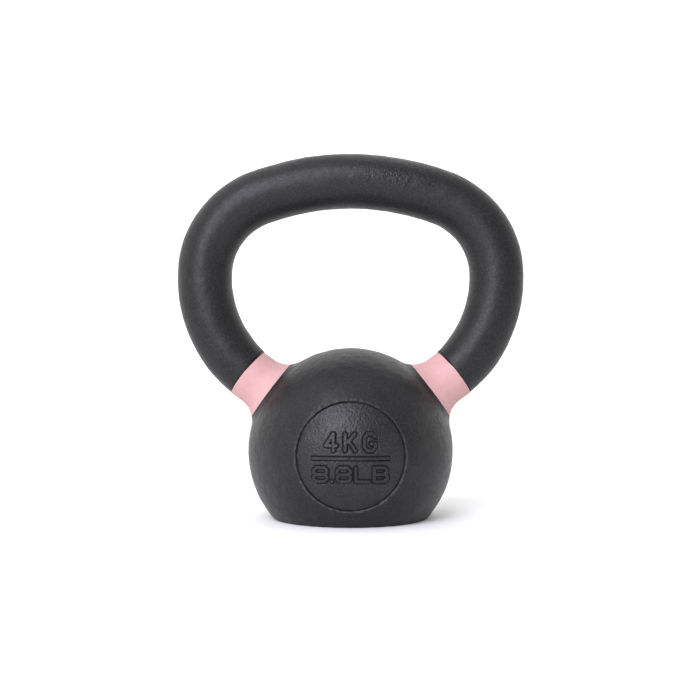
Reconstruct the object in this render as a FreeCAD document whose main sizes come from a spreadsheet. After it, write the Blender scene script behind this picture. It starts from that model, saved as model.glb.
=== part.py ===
import FreeCAD, Part
import math
import os
import Sketcher

# A small cast-iron kettlebell. Millimetres, +Z up, the front faces -Y, and the handle spreads along X.
# The origin is the centre of the flat base. Every piece is drawn about the ball's centre, and its
# Placement lifts it to that centre's height above the base.

document = FreeCAD.newDocument("Kettlebell")

sizes = {
    "overallHeight": 168.0,     # base to the top of the handle
    "overallWidth": 160.2,      # across the outsides of the handle
    "ballRadius": 46.9,
    "centreHeight": 30.8,       # ball centre above the flat base
    "baseRound": 0.8,           # round on the base's edge
    "hornAngle": 36.8,          # each neck's axis above the horizontal, through the ball's centre
    "neckRadius": 12.0,
    "neckFlare": 12.0,          # radius of the fillet from neck to ball
    "neckStraight": 1.21,       # from the flare up to the shoulder where the handle lands
    "barRadius": 12.5,
    "crownRadius": 120.5,       # handle centreline: the nearly flat crown
    "crownWidth": 86.0,         # and its width between the upper corners
    "rootRadius": 9.0,          # the handle's stepped-down end, held in the neck's socket
    "rootLength": 18.0,
    "socketGap": 0.05,          # all round the root
    "socketEndGap": 0.5,        # beyond the root's end
    "bandDrop": 8.29,           # the colour band's lower edge below the top of the flare
    "bandRise": 5.0,            # and its upper edge above the shoulder
    "bandWall": 0.6,
    "bandGap": 0.05,            # between the band and the relief under it
    "plateRadius": 22.8,
    "plateGap": 0.1,            # between the weight plate and its recess
    "lipWidth": 0.7,            # the recess's sloping lip, outside its wall
    "plateDepth": 0.8,          # the plate's domed face below the ball's surface
    "plateRim": 2.0,            # the plate's thickness at its rim
    "markHeight": 0.5,          # raised marks above the plate's face
    "weightStroke": 1.45,       # pen width of the upper line of marks
    "weightCapHeight": 8.35,
    "weightBase": 2.0,          # the line's foot above the plate's centre
    "weightWidth": 22.3,
    "weightGap": 2.1,           # between its letters
    "barMarkWidth": 32.7,
    "barMarkThickness": 1.25,
    "barMarkCentre": -0.62,
    "poundStroke": 1.35,        # the lower line of marks
    "poundCapHeight": 7.15,
    "poundBase": -10.9,
    "poundWidth": 32.3,
    "poundGap": 0.8,
}

# Lengths along a neck's axis are measured from the ball's centre.
flareOffset = "(Sizes.neckRadius + Sizes.neckFlare)"
flareTop = f"sqrt((Sizes.ballRadius + Sizes.neckFlare)^2 - {flareOffset}^2)"
shoulder = f"({flareTop} + Sizes.neckStraight)"
bandStart = f"({flareTop} - Sizes.bandDrop)"
bandEnd = f"({shoulder} + Sizes.bandRise)"
crownHeight = "(Sizes.overallHeight - Sizes.centreHeight - Sizes.barRadius)"
# The corner arc leaves the crown at the edge of its width and reaches the handle's widest point.
crownLean = "(Sizes.crownWidth / 2 / Sizes.crownRadius)"
cornerRadius = f"((Sizes.overallWidth / 2 - Sizes.barRadius - Sizes.crownWidth / 2) / (1 - {crownLean}))"
# The weight plate's flat back, forward of the ball's centre: its rim's thickness behind the domed face.
plateFace = "(Sizes.ballRadius - Sizes.plateDepth)"
plateEdge = f"sqrt({plateFace}^2 - Sizes.plateRadius^2)"
plateBack = f"({plateEdge} - Sizes.plateRim)"
recessWall = "(Sizes.plateRadius + Sizes.plateGap)"
lipEdge = f"({recessWall} + Sizes.lipWidth)"

sheet = document.addObject("Spreadsheet::Sheet", "Sizes")
for row, (alias, number) in enumerate(sizes.items(), start=1):
    sheet.set(f"A{row}", alias)
    sheet.set(f"B{row}", str(number))
    sheet.setAlias(f"B{row}", alias)
document.recompute()


def value(expression):
    return float(sheet.evalExpression(expression))


def size(alias):
    return value(f"Sizes.{alias}")


def point(x, y):
    return FreeCAD.Vector(x, y, 0)


def newBody(label):
    body = document.addObject("PartDesign::Body", label)
    body.Label = label
    body.setExpression("Placement.Base.z", "Sizes.centreHeight")
    return body


def originPlane(body, role):
    return next(plane for plane in body.Origin.OriginFeatures if plane.Role == role)


def newSketch(body, name, role="XZ_Plane"):
    sketch = body.newObject("Sketcher::SketchObject", name)
    sketch.AttachmentSupport = [(originPlane(body, role), "")]
    sketch.MapMode = "FlatFace"
    return sketch


def newHornSketch(body, name, side=1):
    # The sketch's Y axis is the neck's axis, out of the ball's centre: side 1 is +X and -1 is -X.
    sketch = newSketch(body, name)
    turn = side * (size("hornAngle") - 90)
    sketch.AttachmentOffset = FreeCAD.Placement(point(0, 0), FreeCAD.Rotation(FreeCAD.Vector(0, 0, 1), turn))
    sketch.setExpression("AttachmentOffset.Rotation.Angle", f"{side} * (Sizes.hornAngle - 90) * 1 deg")
    return sketch


def limit(sketch, name, expression, kind, *where):
    # A named dimension of the sketch, bound to the sheet.
    number = value(expression)
    if kind == "Angle":
        number = math.radians(number)
        expression += " * 1 deg"
    index = sketch.addConstraint(Sketcher.Constraint(kind, *where, number))
    sketch.renameConstraint(index, name)
    sketch.setExpression(f"Constraints.{name}", expression)


def constrain(sketch, kind, *where):
    sketch.addConstraint(Sketcher.Constraint(kind, *where))


def addLine(sketch, start, end, guide=False):
    return sketch.addGeometry(Part.LineSegment(point(*start), point(*end)), guide)


def addCircle(sketch, centre, radius, guide=False):
    return sketch.addGeometry(Part.Circle(point(*centre), FreeCAD.Vector(0, 0, 1), radius), guide)


def addArc(sketch, centre, radius, start, stop):
    circle = Part.Circle(point(*centre), FreeCAD.Vector(0, 0, 1), radius)
    return sketch.addGeometry(Part.ArcOfCircle(circle, start, stop), False)


def addRectangle(sketch, left, right, low, high):
    # A rectangle between two distances from the sketch's Y axis and two heights, each an expression.
    # A left side of "0" lies on the axis.
    x0, x1, y0, y1 = (value(each) for each in (left, right, low, high))
    corners = [(x0, y0), (x1, y0), (x1, y1), (x0, y1)]
    lines = [addLine(sketch, corners[index], corners[(index + 1) % 4]) for index in range(4)]
    bottom, outside, top, inside = lines
    for index in range(4):
        constrain(sketch, "Coincident", lines[index], 2, lines[(index + 1) % 4], 1)
    for line in (bottom, top):
        constrain(sketch, "Horizontal", line)
    for line in (outside, inside):
        constrain(sketch, "Vertical", line)
    if left == "0":
        constrain(sketch, "PointOnObject", inside, 1, -2)
    else:
        limit(sketch, "left", left, "DistanceX", -1, 1, inside, 1)
    limit(sketch, "right", right, "DistanceX", -1, 1, outside, 1)
    limit(sketch, "low", low, "DistanceY", -1, 1, outside, 1)
    limit(sketch, "high", high, "DistanceY", -1, 1, outside, 2)


def addSectionAhead(sketch, outline):
    # A closed outline in front of the sketch's origin. Each corner is a distance from the sketch's Y
    # axis and a distance forward, towards -Y. A distance of "0" lies on the axis.
    corners = [(value(across), -value(forward)) for across, forward in outline]
    lines = [addLine(sketch, corners[index - 1], corners[index]) for index in range(len(corners))]
    for index, line in enumerate(lines):
        constrain(sketch, "Coincident", lines[index - 1], 2, line, 1)
    for index, (across, forward) in enumerate(outline):
        if across == "0":
            constrain(sketch, "PointOnObject", lines[index], 2, -2)
        else:
            limit(sketch, f"across{index}", across, "DistanceX", -1, 1, lines[index], 2)
        limit(sketch, f"forward{index}", forward, "DistanceY", lines[index], 2, -1, 1)


def revolve(body, kind, name, sketch):
    feature = body.newObject(f"PartDesign::{kind}", name)
    feature.Profile = sketch
    feature.ReferenceAxis = (sketch, ["V_Axis"])
    feature.Angle = 360
    return feature


def mirror(body, name, originals, role):
    feature = body.newObject("PartDesign::Mirrored", name)
    feature.Originals = originals
    feature.MirrorPlane = (originPlane(body, role), [""])
    body.Tip = feature
    return feature


def sleeveOutline(sketch, innerDepth, outerDepth, highEnd):
    # The section of a sleeve on the neck, from the band's lower edge up to highEnd. Each depth is
    # measured inwards from the neck's surface, and the flare's arcs share their centre.
    centre = (value(flareOffset), value(flareTop))
    drop = size("bandDrop")
    sides = []
    for name, depth in (("inner", innerDepth), ("outer", outerDepth)):
        radius = size("neckFlare") + value(depth)
        x = size("neckRadius") - value(depth)
        arc = addArc(sketch, centre, radius, math.pi, math.pi + math.asin(drop / radius))
        line = addLine(sketch, (x, centre[1]), (x, value(highEnd)))
        constrain(sketch, "Vertical", line)
        constrain(sketch, "Tangent", arc, 1, line, 1)
        limit(sketch, f"{name}Radius", f"Sizes.neckFlare + {depth}", "Radius", arc)
        sides.append((arc, line))
    (inner, innerLine), (outer, outerLine) = sides
    constrain(sketch, "Coincident", inner, 3, outer, 3)
    limit(sketch, "flareOffset", flareOffset, "DistanceX", -1, 1, inner, 3)
    limit(sketch, "flareTop", flareTop, "DistanceY", -1, 1, inner, 3)
    ends = (("lowEnd", bandStart, inner, outer), ("highEnd", highEnd, innerLine, outerLine))
    for name, height, left, right in ends:
        across = addLine(sketch, (centre[0] - 2, value(height)), (centre[0] - 1, value(height)))
        constrain(sketch, "Horizontal", across)
        constrain(sketch, "Coincident", across, 1, left, 2)
        constrain(sketch, "Coincident", across, 2, right, 2)
        limit(sketch, name, height, "DistanceY", -1, 1, across, 1)


def addBall(body):
    # The ball, cut off flat below, with a small round on the base's edge.
    radius = size("ballRadius")
    drop = size("centreHeight")
    section = newSketch(body, "BallSection")
    arc = addArc(section, (0, 0), radius, -math.asin(drop / radius), math.pi / 2)
    base = addLine(section, (0, -drop), (math.sqrt(radius ** 2 - drop ** 2), -drop))
    axis = addLine(section, (0, radius), (0, -drop))
    constrain(section, "Coincident", arc, 3, -1, 1)
    constrain(section, "Coincident", arc, 1, base, 2)
    constrain(section, "Coincident", arc, 2, axis, 1)
    constrain(section, "Coincident", axis, 2, base, 1)
    constrain(section, "PointOnObject", axis, 1, -2)
    constrain(section, "PointOnObject", axis, 2, -2)
    constrain(section, "Horizontal", base)
    limit(section, "radius", "Sizes.ballRadius", "Radius", arc)
    limit(section, "drop", "Sizes.centreHeight", "DistanceY", base, 1, -1, 1)
    ball = revolve(body, "Revolution", "Ball", section)
    document.recompute()

    rounded = body.newObject("PartDesign::Fillet", "BaseRound")
    onBase = [f"Edge{number}" for number, edge in enumerate(ball.Shape.Edges, start=1)
              if all(abs(vertex.Z + drop) < 0.01 for vertex in edge.Vertexes)]
    rounded.Base = (ball, onBase)
    rounded.setExpression("Radius", "Sizes.baseRound")


def addNeck(body):
    # A neck about the horn's axis, with a flare that is tangent to the ball.
    radius = size("ballRadius")
    neckRadius = size("neckRadius")
    reach = value(shoulder)
    centre = (value(flareOffset), value(flareTop))
    share = radius / (radius + size("neckFlare"))
    touch = (centre[0] * share, centre[1] * share)
    section = newHornSketch(body, "NeckSection")
    top = addLine(section, (0, reach), (neckRadius, reach))
    wall = addLine(section, (neckRadius, reach), (neckRadius, centre[1]))
    lowAngle = math.atan2(touch[1] - centre[1], touch[0] - centre[0]) + 2 * math.pi
    flare = addArc(section, centre, size("neckFlare"), math.pi, lowAngle)
    back = addLine(section, touch, (0, 0))
    middle = addLine(section, (0, 0), (0, reach))
    ball = addCircle(section, (0, 0), radius, True)
    joins = ((top, 2, wall, 1), (flare, 2, back, 1), (back, 2, middle, 1), (middle, 2, top, 1))
    for one, end, two, start in joins:
        constrain(section, "Coincident", one, end, two, start)
    constrain(section, "Tangent", wall, 2, flare, 1)
    constrain(section, "Coincident", back, 2, -1, 1)
    constrain(section, "Coincident", ball, 3, -1, 1)
    constrain(section, "PointOnObject", middle, 2, -2)
    constrain(section, "Horizontal", top)
    constrain(section, "Vertical", wall)
    constrain(section, "Tangent", flare, 2, ball)
    limit(section, "ballRadius", "Sizes.ballRadius", "Radius", ball)
    limit(section, "flareRadius", "Sizes.neckFlare", "Radius", flare)
    limit(section, "neckRadius", "Sizes.neckRadius", "DistanceX", -1, 1, wall, 1)
    limit(section, "shoulder", shoulder, "DistanceY", -1, 1, top, 1)
    return revolve(body, "Revolution", "Neck", section)


def makeBell():
    # The iron ball with its flat base, two flared necks with sockets, and a round recess with a sloping
    # lip front and back.
    body = newBody("bell")
    addBall(body)
    neck = addNeck(body)

    relief = newHornSketch(body, "BandReliefSection")
    sleeveOutline(relief, "Sizes.bandWall", "(0 - 2 * Sizes.bandWall)", shoulder)
    reliefCut = revolve(body, "Groove", "BandRelief", relief)

    socket = newHornSketch(body, "SocketSection")
    addRectangle(socket, "0", "Sizes.rootRadius + Sizes.socketGap",
                 f"{shoulder} - Sizes.rootLength - Sizes.socketEndGap", shoulder)
    socketCut = revolve(body, "Groove", "Socket", socket)

    recess = newSketch(body, "RecessSection", "XY_Plane")
    lipTop = f"sqrt(Sizes.ballRadius^2 - {lipEdge}^2)"
    addSectionAhead(recess, [
        ("0", plateBack), (recessWall, plateBack), (recessWall, plateEdge), (lipEdge, lipTop),
        (lipEdge, "Sizes.ballRadius"), ("0", "Sizes.ballRadius + Sizes.plateRim")])
    recessCut = revolve(body, "Groove", "FrontRecess", recess)
    document.recompute()

    mirror(body, "RightToLeft", [neck, reliefCut, socketCut], "YZ_Plane")
    mirror(body, "FrontToBack", [recessCut], "XZ_Plane")
    return body


def barCentreline(body):
    # Half the handle's centreline: crown, corner and side arcs, each tangent to the next, and the
    # side arc tangent to the neck's axis at the shoulder. Each arc is (centre, radius, start, stop).
    horn = math.radians(size("hornAngle"))
    along = (math.cos(horn), math.sin(horn))
    reach = value(shoulder)
    end = (reach * along[0], reach * along[1])
    crown = (0, value(crownHeight) - size("crownRadius"))
    crownEnd = math.acos(value(crownLean))
    bend = value(cornerRadius)
    inner = size("crownRadius") - bend
    corner = (inner * math.cos(crownEnd), crown[1] + inner * math.sin(crownEnd))
    gap = (end[0] - corner[0], end[1] - corner[1])
    across = gap[1] * along[0] - gap[0] * along[1]
    side = (bend ** 2 - gap[0] ** 2 - gap[1] ** 2) / (2 * (across + bend))
    low = (end[0] - side * along[1], end[1] + side * along[0])
    cornerEnd = math.atan2(corner[1] - low[1], corner[0] - low[0])

    path = newSketch(body, "BarCentreline")
    top = addArc(path, crown, size("crownRadius"), crownEnd, math.pi / 2)
    turn = addArc(path, corner, bend, cornerEnd, crownEnd)
    leg = addArc(path, low, side, horn - math.pi / 2, cornerEnd)
    neckAxis = addLine(path, (0, 0), end, True)
    constrain(path, "Tangent", top, 1, turn, 2)
    constrain(path, "Tangent", turn, 1, leg, 2)
    constrain(path, "Tangent", leg, 1, neckAxis, 2)
    constrain(path, "Coincident", neckAxis, 1, -1, 1)
    constrain(path, "PointOnObject", top, 3, -2)
    constrain(path, "PointOnObject", top, 2, -2)
    limit(path, "crownHeight", crownHeight, "DistanceY", -1, 1, top, 2)
    limit(path, "crownRadius", "Sizes.crownRadius", "Radius", top)
    limit(path, "crownEdge", "Sizes.crownWidth / 2", "DistanceX", -1, 1, top, 1)
    limit(path, "cornerRadius", cornerRadius, "Radius", turn)
    limit(path, "shoulder", shoulder, "Distance", neckAxis)
    limit(path, "hornAngle", "Sizes.hornAngle", "Angle", neckAxis)
    return path


def makeHandle():
    # A round bar bent in tangent arcs, with a stepped-down root at each end.
    body = newBody("handle")
    path = barCentreline(body)
    section = newSketch(body, "BarSection", "YZ_Plane")
    ring = addCircle(section, (0, value(crownHeight)), size("barRadius"))
    constrain(section, "PointOnObject", ring, 3, -2)
    limit(section, "barRadius", "Sizes.barRadius", "Radius", ring)
    limit(section, "height", crownHeight, "DistanceY", -1, 1, ring, 3)
    document.recompute()
    bar = body.newObject("PartDesign::AdditivePipe", "Bar")
    bar.Profile = section
    bar.Spine = path

    root = newHornSketch(body, "RootSection")
    addRectangle(root, "0", "Sizes.rootRadius", f"{shoulder} - Sizes.rootLength", shoulder)
    rootSolid = revolve(body, "Revolution", "Root", root)

    relief = newHornSketch(body, "BandReliefSection")
    addRectangle(relief, "Sizes.neckRadius - Sizes.bandWall", "Sizes.barRadius + Sizes.rootRadius",
                 shoulder, bandEnd)
    reliefCut = revolve(body, "Groove", "BandRelief", relief)
    document.recompute()

    mirror(body, "RightToLeft", [bar, rootSolid, reliefCut], "YZ_Plane")
    return body


def makeBand(label, side):
    # A thin coloured sleeve, level with the neck and the bar, that covers the line where they meet.
    body = newBody(label)
    section = newHornSketch(body, "BandSection", side)
    sleeveOutline(section, "(Sizes.bandWall - Sizes.bandGap)", "0", bandEnd)
    revolve(body, "Revolution", "Band", section)
    return body


# The marks' letters as pen strokes: points across and up a letter, from 0 to 1 between its outermost lines.
letters = {
    "4": [[(0, 0.3), (1, 0.3)], [(0, 0.3), (0.7, 1)], [(0.7, 1), (0.7, 0)]],
    "K": [[(0, 0), (0, 1)], [(0, 0.35), (0.9, 1)], [(0.3, 0.6), (0.95, 0)]],
    "G": [[(1, 0.82), (0.75, 1), (0.25, 1), (0, 0.75), (0, 0.25), (0.25, 0), (0.75, 0), (1, 0.2)],
          [(1, 0.2), (1, 0.42), (0.6, 0.42)]],
    "8": [[(0.5, 0.5), (0.2, 0.5), (0, 0.65), (0, 0.8), (0.2, 1), (0.5, 1)],
          [(0.5, 1), (0.8, 1), (1, 0.8), (1, 0.65), (0.8, 0.5), (0.5, 0.5)],
          [(0.5, 0.5), (0.2, 0.5), (0, 0.35), (0, 0.2), (0.2, 0), (0.5, 0)],
          [(0.5, 0), (0.8, 0), (1, 0.2), (1, 0.35), (0.8, 0.5), (0.5, 0.5)]],
    ".": [[(0, 0), (0, 0.01)]],
    "L": [[(0, 1), (0, 0), (1, 0)]],
    "B": [[(0, 0), (0, 1)],
          [(0, 1), (0.75, 1), (0.95, 0.85), (0.95, 0.65), (0.75, 0.5), (0, 0.5)],
          [(0, 0.5), (0.8, 0.5), (1, 0.35), (1, 0.2), (0.75, 0), (0, 0)]],
}


def strokeFace(points, width):
    # A mitred stroke of one width along a line of points, with square ends half a width beyond them.
    half = width / 2
    steps = [(b - a).normalize() for a, b in zip(points, points[1:])]
    points = [points[0] - steps[0] * half] + points[1:-1] + [points[-1] + steps[-1] * half]
    left, right = [], []
    for index, point in enumerate(points):
        before = steps[max(index - 1, 0)]
        after = steps[min(index, len(steps) - 1)]
        across = FreeCAD.Vector(before.z + after.z, 0, -before.x - after.x).normalize()
        reach = half / (across.x * after.z - across.z * after.x)
        left.append(point - across * reach)
        right.append(point + across * reach)
    return Part.Face(Part.makePolygon(left + right[::-1] + [left[0]]))


def letterSolid(letter, x, base, width, height, stroke, depth):
    # One letter as a prism along -Y, trimmed to its own cell.
    inner = (width - stroke, height - stroke)
    solids = []
    for line in letters[letter]:
        points = [FreeCAD.Vector(x + stroke / 2 + across * inner[0], 0, base + stroke / 2 + up * inner[1])
                  for across, up in line]
        solids.append(strokeFace(points, stroke).extrude(FreeCAD.Vector(0, -depth, 0)))
    cell = Part.makeBox(width, depth, height, FreeCAD.Vector(x, -depth, base))
    whole = solids[0].fuse(solids[1:]) if len(solids) > 1 else solids[0]
    return whole.common(cell).removeSplitter()


def lineOfLetters(text, name, depth):
    # Letters of one width share the line, and a dot takes a stroke.
    stroke, height, base = size(f"{name}Stroke"), size(f"{name}CapHeight"), size(f"{name}Base")
    width, gap = size(f"{name}Width"), size(f"{name}Gap")
    dots = text.count(".")
    each = (width - gap * (len(text) - 1) - stroke * dots) / (len(text) - dots)
    x = -width / 2
    solids = []
    for letter in text:
        wide = stroke if letter == "." else each
        solids.append(letterSolid(letter, x, base, wide, height, stroke, depth))
        x += wide + gap
    return solids


def markSolids():
    # The weight in kilograms, a bar and the weight in pounds.
    depth = size("ballRadius")
    solids = lineOfLetters("4KG", "weight", depth) + lineOfLetters("8.8LB", "pound", depth)
    width = size("barMarkWidth")
    thick = size("barMarkThickness")
    solids.append(Part.makeBox(width, depth, thick, FreeCAD.Vector(
        -width / 2, -depth, size("barMarkCentre") - thick / 2)))
    return Part.makeCompound([piece for solid in solids for piece in solid.Solids])


def addSphere(name, radius):
    sphere = document.addObject("Part::Sphere", name)
    sphere.setExpression("Radius", radius)
    return sphere


def addCommon(name, base, tool):
    common = document.addObject("Part::Common", name)
    common.Base = base
    common.Tool = tool
    return common


def addForwardCylinder(name, radius, start):
    # A cylinder towards -Y that starts in front of the ball's centre.
    cylinder = document.addObject("Part::Cylinder", name)
    cylinder.Placement.Rotation = FreeCAD.Rotation(FreeCAD.Vector(1, 0, 0), 90)
    cylinder.setExpression("Radius", radius)
    cylinder.setExpression("Height", "Sizes.ballRadius")
    cylinder.setExpression("Placement.Base.y", f"0 - {start}")
    return cylinder


def makePlate(label, turn):
    # A round iron inset: flat behind, domed in front like the ball, with raised marks that follow the dome.
    disc = addCommon(f"{label}Disc", addForwardCylinder(f"{label}Blank", "Sizes.plateRadius", plateBack),
                     addSphere(f"{label}Face", plateFace))
    outlines = document.addObject("Part::Feature", f"{label}Letters")
    outlines.Shape = markSolids()
    tops = addSphere(f"{label}MarkTops", f"{plateFace} + Sizes.markHeight")
    marks = addCommon(f"{label}Marks", outlines, tops)
    trimmed = addCommon(f"{label}Raised", marks, addForwardCylinder(
        f"{label}Reach", "Sizes.plateRadius", plateBack))
    plate = document.addObject("Part::MultiFuse", label)
    plate.Shapes = [disc, trimmed]
    plate.Refine = True
    plate.Label = label
    plate.Placement.Rotation = FreeCAD.Rotation(FreeCAD.Vector(0, 0, 1), turn)
    plate.setExpression("Placement.Base.z", "Sizes.centreHeight")
    return plate


nodes = [
    makeBell(),
    makeHandle(),
    makeBand("right_colour_band", 1),
    makeBand("left_colour_band", -1),
    makePlate("front_weight_plate", 0),
    makePlate("back_weight_plate", 180),
]
document.recompute()

failed = [item.Name for item in document.Objects if {"Invalid", "Error"} & set(item.State)]
failed += [node.Label for node in nodes if node.Shape.isNull() or not node.Shape.isValid()
           or len(node.Shape.Solids) != 1]
if failed:
    raise SystemExit("not built: " + ", ".join(failed))
os.makedirs("parts", exist_ok=True)
for node in nodes:
    node.Shape.exportStep(f"parts/{node.Label}.step")
    print(node.Label, "volume", round(node.Shape.Volume, 1), "mm3")
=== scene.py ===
import math
import bmesh
import bpy
import numpy as np
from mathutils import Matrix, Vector
from mathutils.geometry import delaunay_2d_cdt


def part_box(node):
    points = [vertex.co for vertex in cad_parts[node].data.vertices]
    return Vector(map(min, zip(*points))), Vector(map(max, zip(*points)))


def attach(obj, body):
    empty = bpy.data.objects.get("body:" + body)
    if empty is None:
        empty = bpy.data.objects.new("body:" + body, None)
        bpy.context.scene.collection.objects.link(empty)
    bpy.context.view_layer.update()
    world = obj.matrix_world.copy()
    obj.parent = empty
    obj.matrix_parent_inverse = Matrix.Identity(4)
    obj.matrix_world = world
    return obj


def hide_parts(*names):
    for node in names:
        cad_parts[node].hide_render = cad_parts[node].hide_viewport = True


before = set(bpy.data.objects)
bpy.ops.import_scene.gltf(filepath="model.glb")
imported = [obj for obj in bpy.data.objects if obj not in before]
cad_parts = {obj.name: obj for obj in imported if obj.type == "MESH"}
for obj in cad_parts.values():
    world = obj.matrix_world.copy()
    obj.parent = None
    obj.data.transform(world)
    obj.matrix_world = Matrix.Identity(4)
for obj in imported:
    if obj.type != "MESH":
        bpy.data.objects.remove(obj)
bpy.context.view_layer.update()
print("frame loaded")

mm = 0.001
hubRadius = 1.5               # the last ring before a flat face closes at its middle, in millimetres
farOff = 99.0                 # a distance beyond every mark

# Sizes of the casting in millimetres. Each piece is built about the ball's centre and lifted into place.
casting = {
    "ballRadius": 46.9,
    "hornAngle": 36.8,        # degrees above the horizontal
    "neckRadius": 12.0,
    "flareRadius": 12.0,
    "neckStraight": 1.21,
    "bandDrop": 8.29,
    "bandRise": 5.0,
    "bandWall": 0.6,
    "bandGap": 0.05,
    "rootRadius": 9.0,
    "rootLength": 18.0,
    "socketGap": 0.05,
    "socketEndGap": 0.5,
    "plateGap": 0.1,
    "plateDepth": 0.8,
    "lipRadius": 23.6,        # where the recess's sloping lip meets the ball
}

plateLow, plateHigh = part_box("front_weight_plate")
handleLow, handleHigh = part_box("handle")
ballCentre = np.array([0, 0, (plateLow.z + plateHigh.z) / 2]) / mm
plateRadius = (plateHigh.x - plateLow.x) / 2 / mm
plateBack = -plateHigh.y / mm
centreHeight = ballCentre[2]
barRadius = (handleHigh.y - handleLow.y) / 2 / mm
handleHalfWidth = handleHigh.x / mm - barRadius
plateEdge = math.sqrt((casting["ballRadius"] - casting["plateDepth"]) ** 2 - plateRadius ** 2)

horn = math.radians(casting["hornAngle"])
flareOffset = casting["neckRadius"] + casting["flareRadius"]
flareTop = math.sqrt((casting["ballRadius"] + casting["flareRadius"]) ** 2 - flareOffset ** 2)
shoulder = flareTop + casting["neckStraight"]
bandStart = flareTop - casting["bandDrop"]
bandEnd = shoulder + casting["bandRise"]


# Surface of a casting: sums of random waves, the same on every run.
def castWaves(points, wavelength, height, seed, count=40):
    rng = np.random.default_rng(seed)
    directions = rng.normal(size=(count, 3))
    directions /= np.linalg.norm(directions, axis=1)[:, None]
    lengths = wavelength * rng.uniform(0.7, 1.5, count)
    phases = rng.uniform(0, 2 * math.pi, count)
    total = np.zeros(len(points))
    for direction, length, phase in zip(directions, lengths, phases):
        total += np.cos(points @ direction * (2 * math.pi / length) + phase)
    return total * (height * math.sqrt(2 / count))


def castSurface(points, waves, seed):
    return sum(castWaves(points, length, height, seed + step) for step, (length, height) in enumerate(waves))


def smoothStep(low, high, amount):
    share = np.clip((amount - low) / (high - low), 0, 1)
    return share * share * (3 - 2 * share)


class Shell:
    # Gathers points in millimetres about the ball's centre, and the faces between them.
    def __init__(self):
        self.groups = []
        self.count = 0
        self.faces = []

    def add(self, points):
        first = self.count
        self.groups.append(np.asarray(points, float))
        self.count += len(points)
        return first

    def join(self, first, second, count):
        self.faces += [(first + i, first + (i + 1) % count, second + (i + 1) % count, second + i)
                       for i in range(count)]

    def fan(self, first, count, tip):
        end = self.add([tip])
        self.faces += [(first + i, first + (i + 1) % count, end) for i in range(count)]

    def grow(self, first, rings, tip=None):
        # Carries a ring of points on through more rings, and closes the last one at a tip.
        count = len(rings[0])
        for ring in rings:
            this = self.add(ring)
            self.join(first, this, count)
            first = this
        if tip is not None:
            self.fan(first, count, tip)
        return first

    def make(self, name):
        mesh = bpy.data.meshes.new(name)
        placed = (np.vstack(self.groups) + ballCentre) * mm
        mesh.from_pydata(placed.tolist(), [], self.faces)
        tidy = bmesh.new()
        tidy.from_mesh(mesh)
        bmesh.ops.recalc_face_normals(tidy, faces=tidy.faces)
        tidy.to_mesh(mesh)
        tidy.free()
        mesh.polygons.foreach_set("use_smooth", [True] * len(mesh.polygons))
        mesh.update()
        piece = bpy.data.objects.new(name, mesh)
        bpy.context.scene.collection.objects.link(piece)
        return piece


def readPoints(piece):
    # The piece's points in millimetres about the ball's centre, and their normals.
    mesh = piece.data
    points = np.empty(len(mesh.vertices) * 3)
    normals = np.empty(len(mesh.vertices) * 3)
    mesh.vertices.foreach_get("co", points)
    mesh.vertices.foreach_get("normal", normals)
    return points.reshape(-1, 3) / mm - ballCentre, normals.reshape(-1, 3)


def writePoints(piece, points):
    piece.data.vertices.foreach_set("co", ((points + ballCentre) * mm).ravel())
    piece.data.update()


def writeValues(piece, name, values):
    layer = piece.data.attributes.new(name, "FLOAT", "POINT")
    layer.data.foreach_set("value", np.asarray(values, np.float32))


def near(distance, width):
    return np.exp(-(distance / width) ** 2)


def straightRun(start, stop, step):
    count = max(1, round(math.dist(start, stop) / step))
    return [(start[0] + (stop[0] - start[0]) * i / count, start[1] + (stop[1] - start[1]) * i / count)
            for i in range(1, count + 1)]


def roundRun(centre, bend, start, stop, count):
    return [(centre[0] + bend * math.cos(a), centre[1] + bend * math.sin(a))
            for a in np.linspace(start, stop, count)]


def ringAbout(axis, across, radius, along, count):
    # A ring of points about an axis through the ball's centre.
    angles = np.arange(count) * 2 * math.pi / count
    third = np.cross(axis, across)
    return axis * along + radius * (np.cos(angles)[:, None] * across + np.sin(angles)[:, None] * third)


def hornAxes(side):
    # A horn's axis, and the direction across it towards the hand window.
    axis = np.array([side * math.cos(horn), 0, math.sin(horn)])
    across = np.array([-side * math.sin(horn), 0, math.cos(horn)])
    return axis, across


def turned(profile, axis, across, count):
    return [ringAbout(axis, across, radius, along, count) for radius, along in profile]


def flareRun(depth, low, high, step):
    # The neck's flare from one height along the axis up to another, depth inside its surface.
    radius = casting["flareRadius"] + depth
    start = math.pi + math.asin((flareTop - low) / radius)
    stop = math.pi + math.asin((flareTop - high) / radius)
    count = max(3, int((start - stop) * radius / step) + 1)
    return roundRun((flareOffset, flareTop), radius, start, stop, count)


# The bell: an even skin of triangles over the ball, carried on into its base, recesses and necks.
bell = {
    "spacing": 0.59,
    "baseRound": 0.9,
    "lipRound": 0.25,
    "waves": [(24, 0.05), (6.5, 0.03), (2.2, 0.016)],
    "lipNicks": [(2.6, 0.09), (1.3, 0.06)],
    "lipWidth": 0.55,
    # widths of painted shade: at the foot of each recess wall, and along the band's lower edge
    "paintedShadeWidth": 0.16,
    "bandShadeWidth": 0.4,
    # a paler recess lip: patchy wear, and a painted highlight that grows towards the bottom of the lip, where
    # it faces the light
    "wearAndHighlightWidth": 0.4,         # paler along the lip's edge, and most of all low on it
    "highlightRise": (-18, 12),
    "topHighlightShare": 0.25,
    "meanWear": 0.55,
    "wearPatches": (1.7, 0.3),
    "seed": 11,
}


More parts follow.
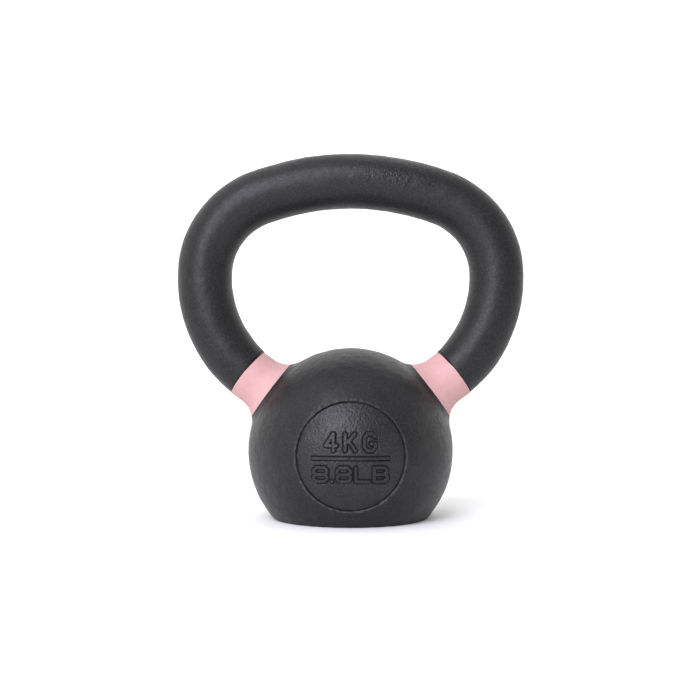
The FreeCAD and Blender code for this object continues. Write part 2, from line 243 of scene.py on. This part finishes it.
def bellCaps():
    # Where the ball's skin stops: an axis, a direction across it, the angle from it and the rest's profile.
    radius = casting["ballRadius"]
    step = bell["spacing"]
    bend = bell["baseRound"]
    low = centreHeight - bend
    out = math.sqrt((radius - bend) ** 2 - low ** 2)
    base = roundRun((out, low), bend, math.atan2(low, out), math.pi / 2, 6)[1:]
    base += straightRun(base[-1], (hubRadius, centreHeight), 1.2)
    caps = [(np.array([0, 0, -1.0]), np.array([1.0, 0, 0]), math.atan2(out, low), base)]

    bend = bell["lipRound"]
    wallRadius = plateRadius + casting["plateGap"]
    top = np.array([casting["lipRadius"], math.sqrt(radius ** 2 - casting["lipRadius"] ** 2)])
    fall = np.array([wallRadius, plateEdge]) - top
    fall /= np.linalg.norm(fall)
    inward = np.array([-fall[1], fall[0]])
    base = top + inward * bend
    # the round's centre lies one bend under both the slope and the ball's surface
    reach = -base @ fall - math.sqrt((base @ fall) ** 2 - base @ base + (radius - bend) ** 2)
    out, low = base + fall * reach
    recess = roundRun((out, low), bend, math.atan2(low, out), math.atan2(-inward[1], -inward[0]), 5)[1:]
    recess += straightRun(recess[-1], (wallRadius, plateEdge), 0.25)
    recess += straightRun(recess[-1], (wallRadius, plateBack), 1)
    recess += straightRun(recess[-1], (hubRadius, plateBack), 1.5)
    for facing in (-1.0, 1.0):
        caps.append((np.array([0, facing, 0]), np.array([1.0, 0, 0]), math.atan2(out, low), recess))

    wall = casting["bandWall"]
    touch = math.atan2(flareOffset, flareTop)
    socket = casting["rootRadius"] + casting["socketGap"]
    neck = flareRun(0, math.cos(touch) * radius, bandStart, step)[1:]
    relief = flareRun(wall, bandStart, flareTop, step)
    neck += straightRun(neck[-1], relief[0], 0.3) + relief[1:]
    neck += straightRun(neck[-1], (casting["neckRadius"] - wall, shoulder), step)
    neck += straightRun(neck[-1], (socket, shoulder), step)
    neck += straightRun(neck[-1], (socket, shoulder - casting["rootLength"] - casting["socketEndGap"]), 2)
    neck += straightRun(neck[-1], (hubRadius, neck[-1][1]), 2)
    for side in (1, -1):
        caps.append((*hornAxes(side), touch, neck))
    return caps


def evenDirections(spacing):
    # An even spiral of directions all round.
    count = int(4 * math.pi / (0.87 * spacing ** 2))
    index = np.arange(count) + 0.5
    height = 1 - 2 * index / count
    turn = index * math.pi * (1 + math.sqrt(5))
    flat = np.sqrt(1 - height * height)
    return np.c_[flat * np.cos(turn), flat * np.sin(turn), height]


def angleFrom(directions, axis):
    return np.arccos(np.clip(directions @ axis, -1, 1))


def buildBell():
    shell = Shell()
    radius = casting["ballRadius"]
    step = bell["spacing"] / radius
    caps = bellCaps()
    skin = evenDirections(step)
    for axis, across, angle, profile in caps:
        skin = skin[angleFrom(skin, axis) > angle + step * 0.6]
    firsts, edges = [], []
    count = len(skin)
    rings = []
    for axis, across, angle, profile in caps:
        around = int(2 * math.pi * math.sin(angle) / step)
        rings.append(ringAbout(axis, across, math.sin(angle), math.cos(angle), around))
        edges += [(count + i, count + (i + 1) % around) for i in range(around)]
        firsts.append(count)
        count += around
    skin = np.vstack([skin] + rings)
    # seen from the base's pole the ball opens flat, and circles stay circles
    flat = skin[:, :2] / (1 + skin[:, 2:3])
    found = delaunay_2d_cdt([Vector(each) for each in flat.tolist()], edges, [], 0, 1e-9, False)
    triangles = np.array(found[2])
    middles = skin[triangles].mean(axis=1)
    middles /= np.linalg.norm(middles, axis=1)[:, None]
    kept = np.ones(len(triangles), bool)
    for axis, across, angle, profile in caps:
        kept &= angleFrom(middles, axis) > angle
    shell.add(skin * radius)
    shell.faces += triangles[kept].tolist()
    for first, (axis, across, angle, profile), ring in zip(firsts, caps, rings):
        shell.grow(first, turned(profile, axis, across, len(ring)), axis * profile[-1][1])
    piece = shell.make("bellCasting")

    points, normals = readPoints(piece)
    offset = castSurface(points, bell["waves"], bell["seed"])
    fromAxis = np.hypot(points[:, 0], points[:, 2])
    fromCentre = np.linalg.norm(points, axis=1)
    fromLip = np.hypot(fromAxis - casting["lipRadius"], fromCentre - radius)
    nicks = castSurface(points, bell["lipNicks"], bell["seed"] + 50)
    offset += nicks * near(fromLip, bell["lipWidth"])
    # painted shade: a darker strip at the foot of each recess wall and along the band's lower edge, where
    # shade falls
    foot = near(np.hypot(fromAxis - plateRadius, np.abs(points[:, 1]) - plateEdge), bell["paintedShadeWidth"])
    edge = near(np.abs(points[:, 0]) * math.cos(horn) + points[:, 2] * math.sin(horn) - bandStart,
                bell["bandShadeWidth"])
    writeValues(piece, "paintedShade", np.maximum(foot, edge))
    # the paler lip: patchy wear, and a painted highlight that is strongest low on the lip
    least = bell["topHighlightShare"]
    lipWearAndHighlight = near(fromLip, bell["wearAndHighlightWidth"])
    lipWearAndHighlight *= least + (1 - least) * smoothStep(*bell["highlightRise"], -points[:, 2])
    length, height = bell["wearPatches"]
    patches = bell["meanWear"] + castWaves(points, length, height, bell["seed"] + 60)
    writeValues(piece, "lipWearAndHighlight", lipWearAndHighlight * patches)
    points += normals * offset[:, None]
    points[:, 2] = np.maximum(points[:, 2], -centreHeight)
    writePoints(piece, points)
    return piece


# The handle: one tube from the right root over the crown to the left root.
handle = {
    "crownRadius": 120.5,     # centreline
    "crownWidth": 86.0,
    "spacing": 0.66,
    "around": 120,
    "crownSwell": 0.15,       # the bar is a little thicker in the middle
    "rootThinning": 0.45,     # and a little thinner at the bands
    "thinLength": 15.0,
    "edgeRound": 0.15,
    "edgeInset": 0.02,        # the bar's edge stands this far inside the band
    # width of the painted shade along the bar's edge at each band
    "paintedShadeWidth": 0.35,
    "waves": [(30, 0.06), (9, 0.025), (3.2, 0.014), (1.6, 0.009)],
    "roughPlace": (20, -9, 125),     # a coarser patch on the crown
    "roughReach": (17, 9, 8),
    "seed": 31,
}


def barRun():
    # Centreline points and headings from the right band's upper edge round to the left one.
    along = (math.cos(horn), math.sin(horn))
    end = (shoulder * along[0], shoulder * along[1])
    crownHeight = handleHigh.z / mm - centreHeight - barRadius - handle["crownSwell"]
    crownEnd = math.acos(handle["crownWidth"] / 2 / handle["crownRadius"])
    bend = (handleHalfWidth - handle["crownWidth"] / 2) / (1 - math.cos(crownEnd))
    crown = (0, crownHeight - handle["crownRadius"])
    inner = handle["crownRadius"] - bend
    corner = (inner * math.cos(crownEnd), crown[1] + inner * math.sin(crownEnd))
    gap = (end[0] - corner[0], end[1] - corner[1])
    across = gap[1] * along[0] - gap[0] * along[1]
    side = (bend ** 2 - gap[0] ** 2 - gap[1] ** 2) / (2 * (across + bend))
    low = (end[0] - side * along[1], end[1] + side * along[0])
    cornerEnd = math.atan2(corner[1] - low[1], corner[0] - low[0])
    legStart = horn - math.pi / 2 + casting["bandRise"] / side
    places, headings, travelled = [], [], []
    length = 0
    for centre, radius, start, stop in ((low, side, legStart, cornerEnd), (corner, bend, cornerEnd, crownEnd),
                                        (crown, handle["crownRadius"], crownEnd, math.pi / 2)):
        count = max(2, round((stop - start) * radius / handle["spacing"]))
        for step in range(count):
            turn = start + (stop - start) * step / count
            places.append((centre[0] + radius * math.cos(turn), centre[1] + radius * math.sin(turn)))
            headings.append(turn + math.pi / 2)
            travelled.append(length + radius * (turn - start))
        length += radius * (stop - start)
    right = list(zip(places, headings, travelled))
    middle = [((0, crownHeight), math.pi, length)]
    left = [((-x, z), 2 * math.pi - heading, run) for (x, z), heading, run in reversed(right)]
    return right + middle + left, length


def buildHandle():
    shell = Shell()
    count = handle["around"]
    wall = casting["neckRadius"] - casting["bandWall"]
    outer = casting["neckRadius"] - handle["edgeInset"]
    bend = handle["edgeRound"]
    tip = shoulder - casting["rootLength"]
    root = [(hubRadius, tip)] + straightRun((hubRadius, tip), (casting["rootRadius"], tip), 2)
    root += straightRun(root[-1], (casting["rootRadius"], shoulder), 2)
    root += straightRun(root[-1], (wall, shoulder), 1)
    root += straightRun(root[-1], (wall, bandEnd), 1)
    root += straightRun(root[-1], (outer - bend, bandEnd), 0.2)
    run, length = barRun()
    rings = turned(root, *hornAxes(1), count)
    angles = np.arange(count) * 2 * math.pi / count
    front = np.array([0, -1.0, 0])
    for (x, z), heading, travelled in run:
        thin = 1 - smoothStep(0, handle["thinLength"], travelled)
        edge = 1 - smoothStep(0, bend * 3, travelled)
        swell = smoothStep(length * 0.45, length, travelled)
        radius = (barRadius + handle["crownSwell"] * swell - handle["rootThinning"] * thin
                  - bend * 0.7 * edge)
        across = np.array([-math.sin(heading), 0, math.cos(heading)])
        rings.append(np.array([x, 0, z]) + radius * (
            np.cos(angles)[:, None] * across + np.sin(angles)[:, None] * front))
    leftAxis, leftAcross = hornAxes(-1)
    for radius, along in reversed(root):
        rings.append(leftAxis * along + radius * (
            np.cos(angles)[:, None] * leftAcross + np.sin(angles)[:, None] * front))
    first = shell.add(rings[0])
    last = shell.grow(first, rings[1:], leftAxis * tip)
    shell.fan(first, count, hornAxes(1)[0] * tip)
    piece = shell.make("handleBar")

    points, normals = readPoints(piece)
    # painted shade: a darker strip along the bar's edge at each band, on the lower half only
    edge = np.abs(points[:, 0]) * math.cos(horn) + points[:, 2] * math.sin(horn) - bandEnd
    low = points[:, 2] < points[:, 2].max() / 2
    writeValues(piece, "paintedShade", near(edge, handle["paintedShadeWidth"]) * low)
    patch = (points - handle["roughPlace"]) / handle["roughReach"]
    writeValues(piece, "coarse", near(np.linalg.norm(patch, axis=1), 1))
    points += normals * castSurface(points, handle["waves"], handle["seed"])[:, None]
    writePoints(piece, points)
    return piece


# A colour band: a thin ring over the joint between neck and bar, level with both.
band = {
    "around": 300,
    "spacing": 0.3,
    "edgeRound": 0.12,
    "waves": [(9, 0.03), (3, 0.02), (1.1, 0.008)],
    "seed": 71,
}


def buildBand(name, side):
    shell = Shell()
    bend = band["edgeRound"]
    depth = casting["bandWall"] - casting["bandGap"]
    inner = flareRun(depth, bandStart, flareTop, 1.0)
    inner += straightRun(inner[-1], (casting["neckRadius"] - depth, bandEnd), 1.0)
    outer = flareRun(0, bandStart + bend, flareTop, band["spacing"])
    outer += straightRun(outer[-1], (casting["neckRadius"], bandEnd - bend), band["spacing"])
    lowEdge = [(outer[0][0] - bend * 0.3, bandStart + bend * 0.3), (outer[0][0] - bend, bandStart)]
    highEdge = [(casting["neckRadius"] - bend * 0.3, bandEnd - bend * 0.3),
                (casting["neckRadius"] - bend, bandEnd)]
    profile = outer + highEdge + inner[::-1] + lowEdge[::-1]
    rings = turned(profile, *hornAxes(side), band["around"])
    first = shell.add(rings[0])
    last = shell.grow(first, rings[1:])
    shell.join(last, first, band["around"])
    piece = shell.make(name)

    points, normals = readPoints(piece)
    offset = castSurface(points, band["waves"], band["seed"] + side)
    points += normals * offset[:, None]
    writePoints(piece, points)
    return piece


# A weight plate: a domed disc with raised marks, each letter drawn with a square pen in its own cell.
letters = {
    "4": [[(0, 0.3), (1, 0.3)], [(0, 0.3), (0.7, 1)], [(0.7, 1), (0.7, 0)]],
    "K": [[(0, 0), (0, 1)], [(0, 0.35), (0.9, 1)], [(0.3, 0.6), (0.95, 0)]],
    "G": [[(1, 0.82), (0.75, 1), (0.25, 1), (0, 0.75), (0, 0.25), (0.25, 0), (0.75, 0), (1, 0.2)],
          [(1, 0.2), (1, 0.42), (0.6, 0.42)]],
    "8": [[(0.2, 0.5), (0, 0.65), (0, 0.8), (0.2, 1), (0.8, 1), (1, 0.8), (1, 0.65), (0.8, 0.5), (0.2, 0.5)],
          [(0.2, 0.5), (0, 0.35), (0, 0.2), (0.2, 0), (0.8, 0), (1, 0.2), (1, 0.35), (0.8, 0.5)]],
    ".": [[(0, 0), (0, 0.01)]],
    "L": [[(0, 1), (0, 0), (1, 0)]],
    "B": [[(0, 0), (0, 1), (0.75, 1), (0.95, 0.85), (0.95, 0.65), (0.75, 0.5), (0, 0.5)],
          [(0.75, 0.5), (1, 0.35), (1, 0.2), (0.75, 0), (0, 0)]],
}

plate = {
    "lines": [
        {"text": "4KG", "width": 22.3, "base": 2.0, "height": 8.35, "stroke": 1.45, "gap": 2.1},
        {"text": "8.8LB", "width": 32.3, "base": -10.9, "height": 7.15, "stroke": 1.35, "gap": 0.8},
    ],
    "bar": {"width": 32.7, "thickness": 1.25, "centre": -0.62},
    "cells": 296,             # across the disc
    "markHeight": 0.5,
    "markEdge": 0.3,          # width of a mark's sloping side
    "markWander": (1.6, 0.05),
    "footDepth": 0.25,        # a shallow channel round each mark
    "footWidth": 0.26,
    "edgeRound": 0.25,
    "rimShadeWidth": 0.22,
    "waves": [(12, 0.04), (3.2, 0.022), (1.5, 0.022), (0.8, 0.02)],
    "seed": 91,
}


def strokeDistance(x, z, line, start, size):
    # Distance from each point to a line of pen strokes inside a letter's cell.
    nearest = np.full(len(x), farOff)
    corners = [(start[0] + across * size[0], start[1] + up * size[1]) for across, up in line]
    for (ax, az), (bx, bz) in zip(corners, corners[1:]):
        dx, dz = bx - ax, bz - az
        share = np.clip(((x - ax) * dx + (z - az) * dz) / (dx * dx + dz * dz), 0, 1)
        nearest = np.minimum(nearest, np.hypot(x - ax - share * dx, z - az - share * dz))
    return nearest


def boxDistance(x, z, low, high):
    outX = np.maximum(low[0] - x, x - high[0])
    outZ = np.maximum(low[1] - z, z - high[1])
    outside = np.hypot(np.maximum(outX, 0), np.maximum(outZ, 0))
    return outside + np.minimum(np.maximum(outX, outZ), 0)


def markDistance(x, z):
    # Distance from the edge of the nearest mark, negative inside it.
    nearest = np.full(len(x), farOff)
    for line in plate["lines"]:
        text, stroke, gap = line["text"], line["stroke"], line["gap"]
        dots = text.count(".")
        each = (line["width"] - gap * (len(text) - 1) - stroke * dots) / (len(text) - dots)
        left = -line["width"] / 2
        for letter in text:
            wide = stroke if letter == "." else each
            start = (left + stroke / 2, line["base"] + stroke / 2)
            size = (wide - stroke, line["height"] - stroke)
            for strokes in letters[letter]:
                nearest = np.minimum(nearest, strokeDistance(x, z, strokes, start, size) - stroke / 2)
            left += wide + gap
    bar = plate["bar"]
    half = (bar["width"] / 2, bar["thickness"] / 2)
    low = (-half[0], bar["centre"] - half[1])
    high = (half[0], bar["centre"] + half[1])
    return np.minimum(nearest, boxDistance(x, z, low, high))


def discGrid(cells, radius):
    # A square grid drawn out to a disc, and the indices round its edge.
    line = np.linspace(-1, 1, cells + 1)
    u, v = (each.ravel() for each in np.meshgrid(line, line))
    wide = np.abs(u) > np.abs(v)
    reach = np.where(wide, u, v)
    turn = np.where(wide, math.pi / 4 * v / np.where(u == 0, 1, u),
                    math.pi / 2 - math.pi / 4 * u / np.where(v == 0, 1, v))
    x, z = radius * reach * np.cos(turn), radius * reach * np.sin(turn)
    row = cells + 1
    faces = [(j * row + i, j * row + i + 1, (j + 1) * row + i + 1, (j + 1) * row + i)
             for j in range(cells) for i in range(cells)]
    edge = list(range(cells)) + [j * row + cells for j in range(cells)]
    edge += [cells * row + cells - i for i in range(cells)] + [(cells - j) * row for j in range(cells)]
    return x, z, faces, edge


def buildPlate(name, facing):
    shell = Shell()
    dome = casting["ballRadius"] - casting["plateDepth"]
    bend = plate["edgeRound"]
    x, z, faces, edge = discGrid(plate["cells"], plateRadius - bend)
    y = np.sqrt(dome ** 2 - x ** 2 - z ** 2)
    shell.add(np.c_[x, y, z])
    shell.faces += faces
    outward = np.c_[x, z][edge] / (plateRadius - bend)
    top = float(y[edge[0]])
    skirt = [(plateRadius - bend * 0.3, top - bend * 0.45), (plateRadius, top - bend * 1.1),
             (plateRadius, plateBack)]
    last = shell.count
    for step, (radius, depth) in enumerate(skirt):
        this = shell.add(np.c_[outward[:, 0] * radius, np.full(len(edge), depth), outward[:, 1] * radius])
        for i in range(len(edge)):
            j = (i + 1) % len(edge)
            before = (edge[i], edge[j]) if step == 0 else (last + i, last + j)
            shell.faces.append((before[0], before[1], this + j, this + i))
        last = this
    shell.fan(last, len(edge), (0, plateBack, 0))
    for group in shell.groups:
        group *= [-facing, facing, 1]
    piece = shell.make(name)

    points, normals = readPoints(piece)
    face = np.arange(len(points)) < len(x)
    distance = np.full(len(points), farOff)
    distance[face] = markDistance(x, z)
    rough = castSurface(points, plate["waves"], plate["seed"])
    wander = castWaves(points, *plate["markWander"], plate["seed"] + 9)
    raised = 1 - smoothStep(-plate["markEdge"] / 2, plate["markEdge"] / 2, distance + wander)
    foot = near(distance - plate["footWidth"], plate["footWidth"])
    offset = rough + plate["markHeight"] * raised - plate["footDepth"] * foot
    offset *= face
    # painted shade: darker colour in each mark's channel and round the plate's rim; the channel itself is
    # real geometry
    rim = near(np.hypot(points[:, 0], points[:, 2]) - plateRadius, plate["rimShadeWidth"])
    writeValues(piece, "paintedShade", np.maximum(foot * face, rim))
    points += normals * offset[:, None]
    writePoints(piece, points)
    return piece


bellPiece = buildBell()
print("bell built")
handlePiece = buildHandle()
print("handle built")
rightBand = buildBand("rightColourBand", 1)
leftBand = buildBand("leftColourBand", -1)
print("colour bands built")
frontPlate = buildPlate("frontWeightPlate", -1)
backPlate = buildPlate("backWeightPlate", 1)
print("weight plates built")


# Finishes. Every pattern is laid out in the casting's own space, in metres.
class Finish:
    def __init__(self, name):
        self.material = bpy.data.materials.new(name)
        self.material.use_nodes = True
        self.nodes = self.material.node_tree.nodes
        self.links = self.material.node_tree.links
        self.shader = self.nodes["Principled BSDF"]
        self.place = self.nodes.new("ShaderNodeTexCoord").outputs["Object"]

    def noise(self, wavelength, detail=2.0, roughness=0.5):
        node = self.nodes.new("ShaderNodeTexNoise")
        node.inputs["Scale"].default_value = 1 / (wavelength * mm)
        node.inputs["Detail"].default_value = detail
        node.inputs["Roughness"].default_value = roughness
        self.links.new(self.place, node.inputs["Vector"])
        return node.outputs["Fac"]

    def spread(self, value, low, high, fromLow=0.3, fromHigh=0.7):
        node = self.nodes.new("ShaderNodeMapRange")
        node.inputs["From Min"].default_value = fromLow
        node.inputs["From Max"].default_value = fromHigh
        node.inputs["To Min"].default_value = low
        node.inputs["To Max"].default_value = high
        self.links.new(value, node.inputs["Value"])
        return node.outputs["Result"]

    def attribute(self, name):
        node = self.nodes.new("ShaderNodeAttribute")
        node.attribute_name = name
        return node.outputs["Fac"]

    def combine(self, operation, first, second):
        node = self.nodes.new("ShaderNodeMath")
        node.operation = operation
        self.links.new(first, node.inputs[0])
        self.links.new(second, node.inputs[1])
        return node.outputs["Value"]

    def blend(self, share, first, second):
        node = self.nodes.new("ShaderNodeMix")
        node.data_type = "RGBA"
        self.links.new(share, node.inputs["Factor"])
        for socket, colour in (("A", first), ("B", second)):
            target = [each for each in node.inputs if each.name == socket and each.type == "RGBA"][0]
            if isinstance(colour, tuple):
                target.default_value = (*colour, 1)
            else:
                self.links.new(colour, target)
        return [each for each in node.outputs if each.type == "RGBA"][0]

    def bump(self, height, depth, below=None):
        node = self.nodes.new("ShaderNodeBump")
        node.inputs["Strength"].default_value = 1.0
        node.inputs["Distance"].default_value = depth * mm
        self.links.new(height, node.inputs["Height"])
        if below is not None:
            self.links.new(below, node.inputs["Normal"])
        return node.outputs["Normal"]


powderCoat = {
    "dark": (0.006, 0.006, 0.0063),
    "light": (0.011, 0.011, 0.0114),
    "fleck": (0.03, 0.03, 0.032),
    "cloudSize": 9,           # clouds and flecks in the colour and patches in the sheen, in millimetres
    "fleckSize": 0.55,
    "sheenSize": 1.3,
    "roughness": (0.35, 0.49),
    "grain": [(1.1, 0.034), (0.45, 0.042)],    # wavelength and depth of the coat's grain in millimetres
    "coarseGrain": (1.4, 0.42),
    "coarseShine": 0.14,
    # painted shade: near-black colour laid into creases, channels and joints
    "paintedShade": (0.003, 0.003, 0.003),
    # paler colour for the recess lip: wear, and painted highlight
    "wearAndHighlightColour": (0.06, 0.06, 0.064),
    "specular": 0.26,
}


def coatFinish(name, coat):
    finish = Finish(name)
    colour = finish.blend(finish.spread(finish.noise(coat["cloudSize"], 4, 0.6), 0, 1),
                          coat["dark"], coat["light"])
    fleck = finish.spread(finish.noise(coat["fleckSize"], 1.5), 0, 1, 0.45, 0.85)
    colour = finish.blend(fleck, colour, coat["fleck"])
    # wear and painted highlight on the recess lip
    colour = finish.blend(finish.attribute("lipWearAndHighlight"), colour, coat["wearAndHighlightColour"])
    # painted shade: the shade mask darkens the colour, and it also raises the roughness
    depth = finish.spread(finish.attribute("paintedShade"), 0, 1, 0.1, 0.9)
    colour = finish.blend(depth, colour, coat["paintedShade"])
    finish.links.new(colour, finish.shader.inputs["Base Color"])
    low, high = coat["roughness"]
    sheen = finish.spread(finish.noise(coat["sheenSize"], 3), low, high)
    shine = finish.spread(finish.attribute("coarse"), 0, coat["coarseShine"], 0, 1)
    sheen = finish.combine("SUBTRACT", sheen, shine)
    finish.links.new(finish.combine("MAXIMUM", sheen, depth), finish.shader.inputs["Roughness"])
    finish.shader.inputs["Specular IOR Level"].default_value = coat["specular"]
    wavelength, depth = coat["coarseGrain"]
    lumps = finish.combine("MULTIPLY", finish.noise(wavelength, 2, 0.6), finish.attribute("coarse"))
    normal = finish.bump(lumps, depth)
    for wavelength, depth in coat["grain"]:
        normal = finish.bump(finish.noise(wavelength, 2.5, 0.6), depth, normal)
    finish.links.new(normal, finish.shader.inputs["Normal"])
    return finish.material


bandPaint = {
    "colour": (0.53, 0.312, 0.305),
    "shade": (0.495, 0.285, 0.28),
    "cloudSize": 3.5,
    "sheenSize": 1.3,
    "specular": 0.4,
    "roughness": (0.5, 0.68),
    "grain": [(1.6, 0.02), (0.6, 0.01)],
}


def paintFinish(name, paint):
    finish = Finish(name)
    colour = finish.blend(finish.spread(finish.noise(paint["cloudSize"], 4, 0.6), 0, 1),
                          paint["shade"], paint["colour"])
    finish.links.new(colour, finish.shader.inputs["Base Color"])
    low, high = paint["roughness"]
    sheen = finish.spread(finish.noise(paint["sheenSize"], 3), low, high)
    finish.links.new(sheen, finish.shader.inputs["Roughness"])
    finish.shader.inputs["Specular IOR Level"].default_value = paint["specular"]
    normal = None
    for wavelength, depth in paint["grain"]:
        normal = finish.bump(finish.noise(wavelength, 2.5, 0.6), depth, normal)
    finish.links.new(normal, finish.shader.inputs["Normal"])
    return finish.material


# the plates' coat is grainier and catches a little more light
plateCoating = {**powderCoat, "grain": [(1.2, 0.07), (0.5, 0.035)], "specular": 0.34}

blackCoat = coatFinish("blackPowderCoat", powderCoat)
plateCoat = coatFinish("platePowderCoat", plateCoating)
pinkPaint = paintFinish("pinkBandPaint", bandPaint)
print("finishes made")

pieces = [
    (bellPiece, "bell", "black_powder_coat", blackCoat),
    (handlePiece, "handle", "black_powder_coat", blackCoat),
    (rightBand, "right_colour_band", "pink_band", pinkPaint),
    (leftBand, "left_colour_band", "pink_band", pinkPaint),
    (frontPlate, "front_weight_plate", "plate_powder_coat", plateCoat),
    (backPlate, "back_weight_plate", "plate_powder_coat", plateCoat),
]
for piece, node, slot, material in pieces:
    piece.data.materials.append(material)
    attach(piece, "root")
    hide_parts(node)
print("pieces placed")


# The stage: a pale floor, a white surround and a soft lamp.
stage = {
    "floorSize": 3.0,
    "floorColour": (0.89, 0.89, 0.89),
    "surround": 1.42,
    "room": 0.48,             # the darker side of the room, in front and a little to the right
    "roomSide": (0.35, -0.93, 0.1),
    "roomSpread": (30, 110),  # degrees from its middle
    "keyColour": (0.9, 0.88, 1.0),
    "lamps": [
        {"name": "keyLamp", "place": (-0.36, -0.98, 0.66), "aim": (0, 0, 0.08), "width": 0.65, "height": 1.1,
         "power": 18},
    ],
}


def surroundLight():
    # White all round, and darker to one side.
    world = bpy.data.worlds.new("surround")
    bpy.context.scene.world = world
    world.use_nodes = True
    nodes, links = world.node_tree.nodes, world.node_tree.links
    place = nodes.new("ShaderNodeTexCoord")
    lean = nodes.new("ShaderNodeVectorMath")
    lean.operation = "DOT_PRODUCT"
    lean.inputs[1].default_value = Vector(stage["roomSide"]).normalized()
    links.new(place.outputs["Generated"], lean.inputs[0])
    share = nodes.new("ShaderNodeMapRange")
    share.interpolation_type = "SMOOTHSTEP"
    inside, outside = stage["roomSpread"]
    share.inputs["From Min"].default_value = math.cos(math.radians(outside))
    share.inputs["From Max"].default_value = math.cos(math.radians(inside))
    share.inputs["To Min"].default_value = stage["surround"]
    share.inputs["To Max"].default_value = stage["room"]
    links.new(lean.outputs["Value"], share.inputs["Value"])
    links.new(share.outputs["Result"], nodes["Background"].inputs["Strength"])
    nodes["Background"].inputs["Color"].default_value = (1, 1, 1, 1)


def buildStage():
    bpy.ops.mesh.primitive_plane_add(size=stage["floorSize"])
    floor = bpy.context.object
    floor.name = "floor"
    finish = Finish("floorPaper")
    finish.shader.inputs["Base Color"].default_value = (*stage["floorColour"], 1)
    finish.shader.inputs["Roughness"].default_value = 0.8
    finish.shader.inputs["Specular IOR Level"].default_value = 0.2
    floor.data.materials.append(finish.material)
    surroundLight()
    for lamp in stage["lamps"]:
        data = bpy.data.lights.new(lamp["name"], "AREA")
        data.shape = "RECTANGLE"
        data.size = lamp["width"]
        data.size_y = lamp["height"]
        data.energy = lamp["power"]
        data.color = stage["keyColour"]
        item = bpy.data.objects.new(lamp["name"], data)
        item.location = lamp["place"]
        item.rotation_euler = (Vector(lamp["aim"]) - item.location).to_track_quat("-Z", "Y").to_euler()
        bpy.context.scene.collection.objects.link(item)


camera = {
    "place": (-0.0003, -0.4631, 0.0636),
    "pitch": 91.64,           # degrees, 90 looks level
    "lens": 51.43,            # millimetres on a 36 mm sensor
}


def buildCamera():
    data = bpy.data.cameras.new("camera")
    data.sensor_width = 36
    data.lens = camera["lens"]
    data.clip_start = 0.01
    item = bpy.data.objects.new("camera", data)
    item.location = camera["place"]
    item.rotation_euler = (math.radians(camera["pitch"]), 0, 0)
    bpy.context.scene.collection.objects.link(item)
    bpy.context.scene.camera = item
    bpy.context.scene.view_settings.view_transform = "Standard"


buildStage()
buildCamera()
print("stage and camera set")
